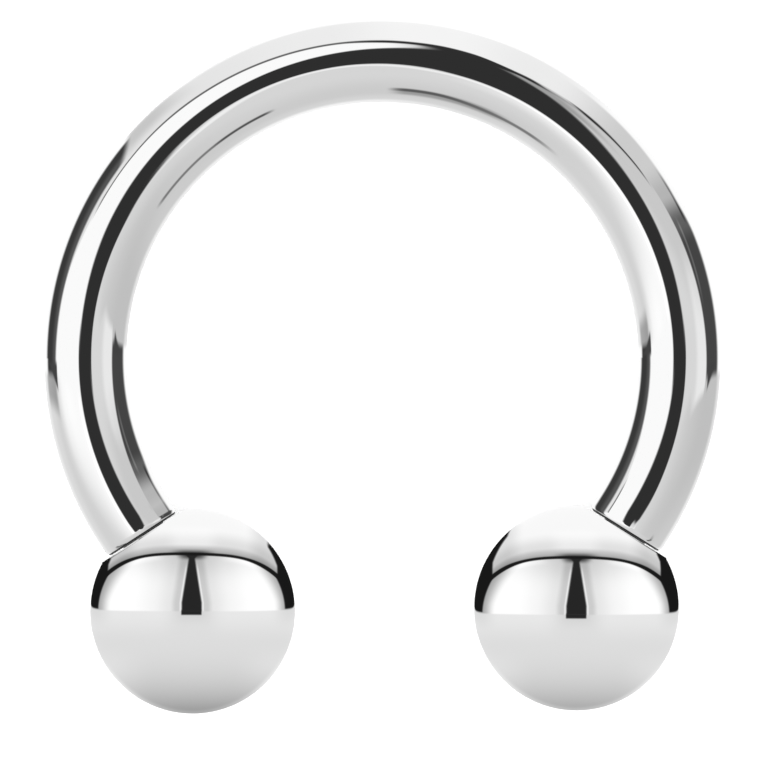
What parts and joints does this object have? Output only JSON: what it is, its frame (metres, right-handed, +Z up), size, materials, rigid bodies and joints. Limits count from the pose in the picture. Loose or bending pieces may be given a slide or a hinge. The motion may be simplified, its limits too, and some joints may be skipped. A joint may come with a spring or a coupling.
{
  "type": "horseshoe barbell",
  "caption": "Body jewel for a piercing: a round polished steel bar bent to a horseshoe, with a threaded ball on each end, lying on its side.",
  "frame": {"origin": "on the surface that the jewel lies on, under the centre of its outline", "axes": "+Z up; +Y from the balls to the closed back of the horseshoe; +X towards the right ball as the picture shows it"},
  "size_m": [0.0132, 0.0134, 0.004],
  "materials": {
    "bar_steel": "mirror polished surgical steel",
    "ball_steel": "mirror polished surgical steel"
  },
  "bodies": {
    "bar": {"bar": "bar_steel"},
    "ball_left": {"ball_left": "ball_steel"},
    "ball_right": {"ball_right": "ball_steel"}
  },
  "joints": [
    {"name": "ball_left_off", "type": "slide", "parent": "bar", "child": "ball_left", "axis": [0.5373, -0.8381, 0.0945], "range_m": [0, 0.0024]},
    {"name": "ball_right_off", "type": "slide", "parent": "bar", "child": "ball_right", "axis": [-0.5373, -0.8381, 0.0945], "range_m": [0, 0.0024]}
  ]
}
